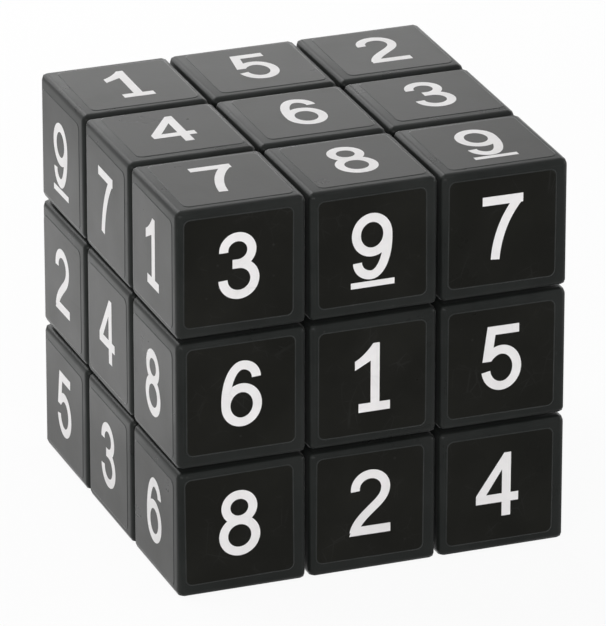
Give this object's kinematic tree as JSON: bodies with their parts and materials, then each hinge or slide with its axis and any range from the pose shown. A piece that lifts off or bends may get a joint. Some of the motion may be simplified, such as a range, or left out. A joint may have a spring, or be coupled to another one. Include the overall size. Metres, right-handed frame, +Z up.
{
  "type": "sudoku cube",
  "caption": "Black plastic cube puzzle with a white number on every square; each of its faces turns about its centre on a spring-loaded core.",
  "frame": {"origin": "middle of the cube, where the six turning axes meet", "axes": "+Z up out of the top face, -Y out of the front face, -X out of the left face"},
  "size_m": [0.057, 0.057, 0.057],
  "materials": {
    "cubie_plastic": "moulded black, semi-gloss",
    "cap_plastic": "moulded black, semi-gloss",
    "foot_plastic": "moulded black, matt",
    "core_plastic": "moulded off-white, matt",
    "screw_steel": "zinc-plated",
    "washer_steel": "zinc-plated",
    "spring_steel": "bright drawn wire"
  },
  "bodies": {
    "core": {"core": "core_plastic", "screw_top": "screw_steel", "screw_bottom": "screw_steel", "screw_front": "screw_steel", "screw_back": "screw_steel", "screw_left": "screw_steel", "screw_right": "screw_steel", "washer_top": "washer_steel", "washer_bottom": "washer_steel", "washer_front": "washer_steel", "washer_back": "washer_steel", "washer_left": "washer_steel", "washer_right": "washer_steel", "spring_top": "spring_steel", "spring_bottom": "spring_steel", "spring_front": "spring_steel", "spring_back": "spring_steel", "spring_left": "spring_steel", "spring_right": "spring_steel"},
    "centre_top": {"centre_top": "cubie_plastic", "cap_top": "cap_plastic"},
    "centre_bottom": {"centre_bottom": "cubie_plastic", "cap_bottom": "cap_plastic"},
    "centre_front": {"centre_front": "cubie_plastic", "cap_front": "cap_plastic"},
    "centre_back": {"centre_back": "cubie_plastic", "cap_back": "cap_plastic"},
    "centre_left": {"centre_left": "cubie_plastic", "cap_left": "cap_plastic"},
    "centre_right": {"centre_right": "cubie_plastic", "cap_right": "cap_plastic"},
    "edge_top_front": {"edge_top_front": "cubie_plastic"},
    "edge_top_back": {"edge_top_back": "cubie_plastic"},
    "edge_top_left": {"edge_top_left": "cubie_plastic"},
    "edge_top_right": {"edge_top_right": "cubie_plastic"},
    "edge_bottom_front": {"edge_bottom_front": "cubie_plastic"},
    "edge_bottom_back": {"edge_bottom_back": "cubie_plastic"},
    "edge_bottom_left": {"edge_bottom_left": "cubie_plastic"},
    "edge_bottom_right": {"edge_bottom_right": "cubie_plastic"},
    "edge_front_left": {"edge_front_left": "cubie_plastic"},
    "edge_front_right": {"edge_front_right": "cubie_plastic"},
    "edge_back_left": {"edge_back_left": "cubie_plastic"},
    "edge_back_right": {"edge_back_right": "cubie_plastic"},
    "corner_top_front_left": {"corner_top_front_left": "cubie_plastic", "corner_foot_top_front_left": "foot_plastic"},
    "corner_top_front_right": {"corner_top_front_right": "cubie_plastic", "corner_foot_top_front_right": "foot_plastic"},
    "corner_top_back_left": {"corner_top_back_left": "cubie_plastic", "corner_foot_top_back_left": "foot_plastic"},
    "corner_top_back_right": {"corner_top_back_right": "cubie_plastic", "corner_foot_top_back_right": "foot_plastic"},
    "corner_bottom_front_left": {"corner_bottom_front_left": "cubie_plastic", "corner_foot_bottom_front_left": "foot_plastic"},
    "corner_bottom_front_right": {"corner_bottom_front_right": "cubie_plastic", "corner_foot_bottom_front_right": "foot_plastic"},
    "corner_bottom_back_left": {"corner_bottom_back_left": "cubie_plastic", "corner_foot_bottom_back_left": "foot_plastic"},
    "corner_bottom_back_right": {"corner_bottom_back_right": "cubie_plastic", "corner_foot_bottom_back_right": "foot_plastic"}
  },
  "joints": [
    {"name": "turn_top", "type": "hinge", "parent": "core", "child": "centre_top", "pos_m": [0, 0, 0], "axis": [0, 0, 1], "continuous": true},
    {"name": "turn_bottom", "type": "hinge", "parent": "core", "child": "centre_bottom", "pos_m": [0, 0, 0], "axis": [0, 0, -1], "continuous": true},
    {"name": "turn_front", "type": "hinge", "parent": "core", "child": "centre_front", "pos_m": [0, 0, 0], "axis": [0, -1, 0], "continuous": true},
    {"name": "turn_back", "type": "hinge", "parent": "core", "child": "centre_back", "pos_m": [0, 0, 0], "axis": [0, 1, 0], "continuous": true},
    {"name": "turn_left", "type": "hinge", "parent": "core", "child": "centre_left", "pos_m": [0, 0, 0], "axis": [-1, 0, 0], "continuous": true},
    {"name": "turn_right", "type": "hinge", "parent": "core", "child": "centre_right", "pos_m": [0, 0, 0], "axis": [1, 0, 0], "continuous": true},
    {"name": "edge_top_front_with_front", "type": "hinge", "parent": "centre_top", "child": "edge_top_front", "pos_m": [0, 0, 0], "axis": [0, -1, 0], "continuous": true},
    {"name": "edge_front_right_with_right", "type": "hinge", "parent": "centre_front", "child": "edge_front_right", "pos_m": [0, 0, 0], "axis": [1, 0, 0], "continuous": true},
    {"name": "edge_bottom_front_with_bottom", "type": "hinge", "parent": "centre_front", "child": "edge_bottom_front", "pos_m": [0, 0, 0], "axis": [0, 0, -1], "continuous": true},
    {"name": "edge_top_right_with_right", "type": "hinge", "parent": "centre_top", "child": "edge_top_right", "pos_m": [0, 0, 0], "axis": [1, 0, 0], "continuous": true},
    {"name": "edge_back_right_with_back", "type": "hinge", "parent": "centre_right", "child": "edge_back_right", "pos_m": [0, 0, 0], "axis": [0, 1, 0], "continuous": true},
    {"name": "edge_bottom_right_with_bottom", "type": "hinge", "parent": "centre_right", "child": "edge_bottom_right", "pos_m": [0, 0, 0], "axis": [0, 0, -1], "continuous": true},
    {"name": "edge_top_back_with_back", "type": "hinge", "parent": "centre_top", "child": "edge_top_back", "pos_m": [0, 0, 0], "axis": [0, 1, 0], "continuous": true},
    {"name": "edge_back_left_with_left", "type": "hinge", "parent": "centre_back", "child": "edge_back_left", "pos_m": [0, 0, 0], "axis": [-1, 0, 0], "continuous": true},
    {"name": "edge_bottom_back_with_bottom", "type": "hinge", "parent": "centre_back", "child": "edge_bottom_back", "pos_m": [0, 0, 0], "axis": [0, 0, -1], "continuous": true},
    {"name": "edge_top_left_with_left", "type": "hinge", "parent": "centre_top", "child": "edge_top_left", "pos_m": [0, 0, 0], "axis": [-1, 0, 0], "continuous": true},
    {"name": "edge_front_left_with_front", "type": "hinge", "parent": "centre_left", "child": "edge_front_left", "pos_m": [0, 0, 0], "axis": [0, -1, 0], "continuous": true},
    {"name": "edge_bottom_left_with_bottom", "type": "hinge", "parent": "centre_left", "child": "edge_bottom_left", "pos_m": [0, 0, 0], "axis": [0, 0, -1], "continuous": true},
    {"name": "corner_top_front_right_with_top", "type": "hinge", "parent": "edge_front_right", "child": "corner_top_front_right", "pos_m": [0, 0, 0], "axis": [0, 0, 1], "continuous": true},
    {"name": "corner_bottom_front_right_with_bottom", "type": "hinge", "parent": "edge_front_right", "child": "corner_bottom_front_right", "pos_m": [0, 0, 0], "axis": [0, 0, -1], "continuous": true},
    {"name": "corner_top_back_right_with_top", "type": "hinge", "parent": "edge_back_right", "child": "corner_top_back_right", "pos_m": [0, 0, 0], "axis": [0, 0, 1], "continuous": true},
    {"name": "corner_bottom_back_right_with_bottom", "type": "hinge", "parent": "edge_back_right", "child": "corner_bottom_back_right", "pos_m": [0, 0, 0], "axis": [0, 0, -1], "continuous": true},
    {"name": "corner_top_back_left_with_top", "type": "hinge", "parent": "edge_back_left", "child": "corner_top_back_left", "pos_m": [0, 0, 0], "axis": [0, 0, 1], "continuous": true},
    {"name": "corner_bottom_back_left_with_bottom", "type": "hinge", "parent": "edge_back_left", "child": "corner_bottom_back_left", "pos_m": [0, 0, 0], "axis": [0, 0, -1], "continuous": true},
    {"name": "corner_top_front_left_with_top", "type": "hinge", "parent": "edge_front_left", "child": "corner_top_front_left", "pos_m": [0, 0, 0], "axis": [0, 0, 1], "continuous": true},
    {"name": "corner_bottom_front_left_with_bottom", "type": "hinge", "parent": "edge_front_left", "child": "corner_bottom_front_left", "pos_m": [0, 0, 0], "axis": [0, 0, -1], "continuous": true}
  ],
  "couplings": [
    {"joint": "edge_top_front_with_front", "follows": "turn_front", "ratio": 1},
    {"joint": "edge_front_right_with_right", "follows": "turn_right", "ratio": 1},
    {"joint": "edge_bottom_front_with_bottom", "follows": "turn_bottom", "ratio": 1},
    {"joint": "edge_top_right_with_right", "follows": "turn_right", "ratio": 1},
    {"joint": "edge_back_right_with_back", "follows": "turn_back", "ratio": 1},
    {"joint": "edge_bottom_right_with_bottom", "follows": "turn_bottom", "ratio": 1},
    {"joint": "edge_top_back_with_back", "follows": "turn_back", "ratio": 1},
    {"joint": "edge_back_left_with_left", "follows": "turn_left", "ratio": 1},
    {"joint": "edge_bottom_back_with_bottom", "follows": "turn_bottom", "ratio": 1},
    {"joint": "edge_top_left_with_left", "follows": "turn_left", "ratio": 1},
    {"joint": "edge_front_left_with_front", "follows": "turn_front", "ratio": 1},
    {"joint": "edge_bottom_left_with_bottom", "follows": "turn_bottom", "ratio": 1},
    {"joint": "corner_top_front_right_with_top", "follows": "turn_top", "ratio": 1},
    {"joint": "corner_bottom_front_right_with_bottom", "follows": "turn_bottom", "ratio": 1},
    {"joint": "corner_top_back_right_with_top", "follows": "turn_top", "ratio": 1},
    {"joint": "corner_bottom_back_right_with_bottom", "follows": "turn_bottom", "ratio": 1},
    {"joint": "corner_top_back_left_with_top", "follows": "turn_top", "ratio": 1},
    {"joint": "corner_bottom_back_left_with_bottom", "follows": "turn_bottom", "ratio": 1},
    {"joint": "corner_top_front_left_with_top", "follows": "turn_top", "ratio": 1},
    {"joint": "corner_bottom_front_left_with_bottom", "follows": "turn_bottom", "ratio": 1}
  ]
}
